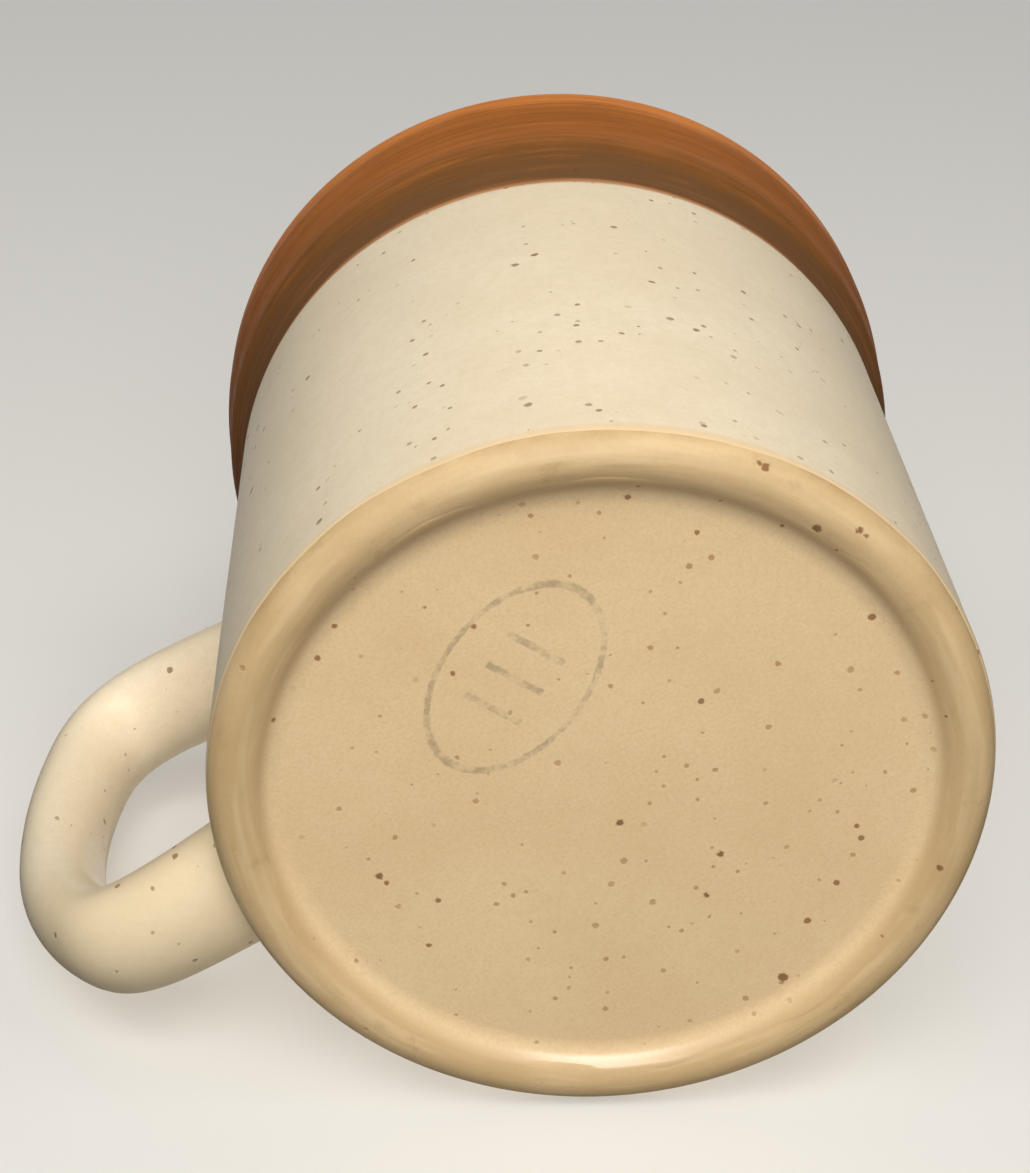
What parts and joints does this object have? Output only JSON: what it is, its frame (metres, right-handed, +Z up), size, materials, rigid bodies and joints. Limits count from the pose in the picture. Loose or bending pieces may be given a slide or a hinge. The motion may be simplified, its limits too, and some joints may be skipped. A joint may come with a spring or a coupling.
{
  "type": "mug",
  "caption": "Straight-sided stoneware mug with a flared brown rim, an ear-shaped loop handle and a bare foot ring.",
  "frame": {"origin": "centre of the mug's bounding box, handle included, on the plane that the foot ring stands on; the cup's own axis is the vertical line at X = -14.811 mm", "axes": "+Z up through the mouth, +X towards the handle, +Y across the handle"},
  "size_m": [0.1154, 0.0858, 0.0965],
  "materials": {
    "bare_clay": "matte",
    "cream_glaze": "satin, with fine grey-brown specks",
    "brown_glaze": "matte, orange-brown where it thins at the lip",
    "base_glaze": "satin, with red-brown specks",
    "mark_ink": "matte, under the glaze"
  },
  "bodies": {
    "root": {"cup_clay": "bare_clay", "handle_clay": "bare_clay", "lower_handle_joint": "cream_glaze", "upper_handle_joint": "cream_glaze", "wall_glaze": "cream_glaze", "rim_glaze": "brown_glaze", "liner_glaze": "cream_glaze", "base_glaze": "base_glaze", "handle_glaze": "cream_glaze", "base_mark": "mark_ink"}
  },
  "joints": []
}
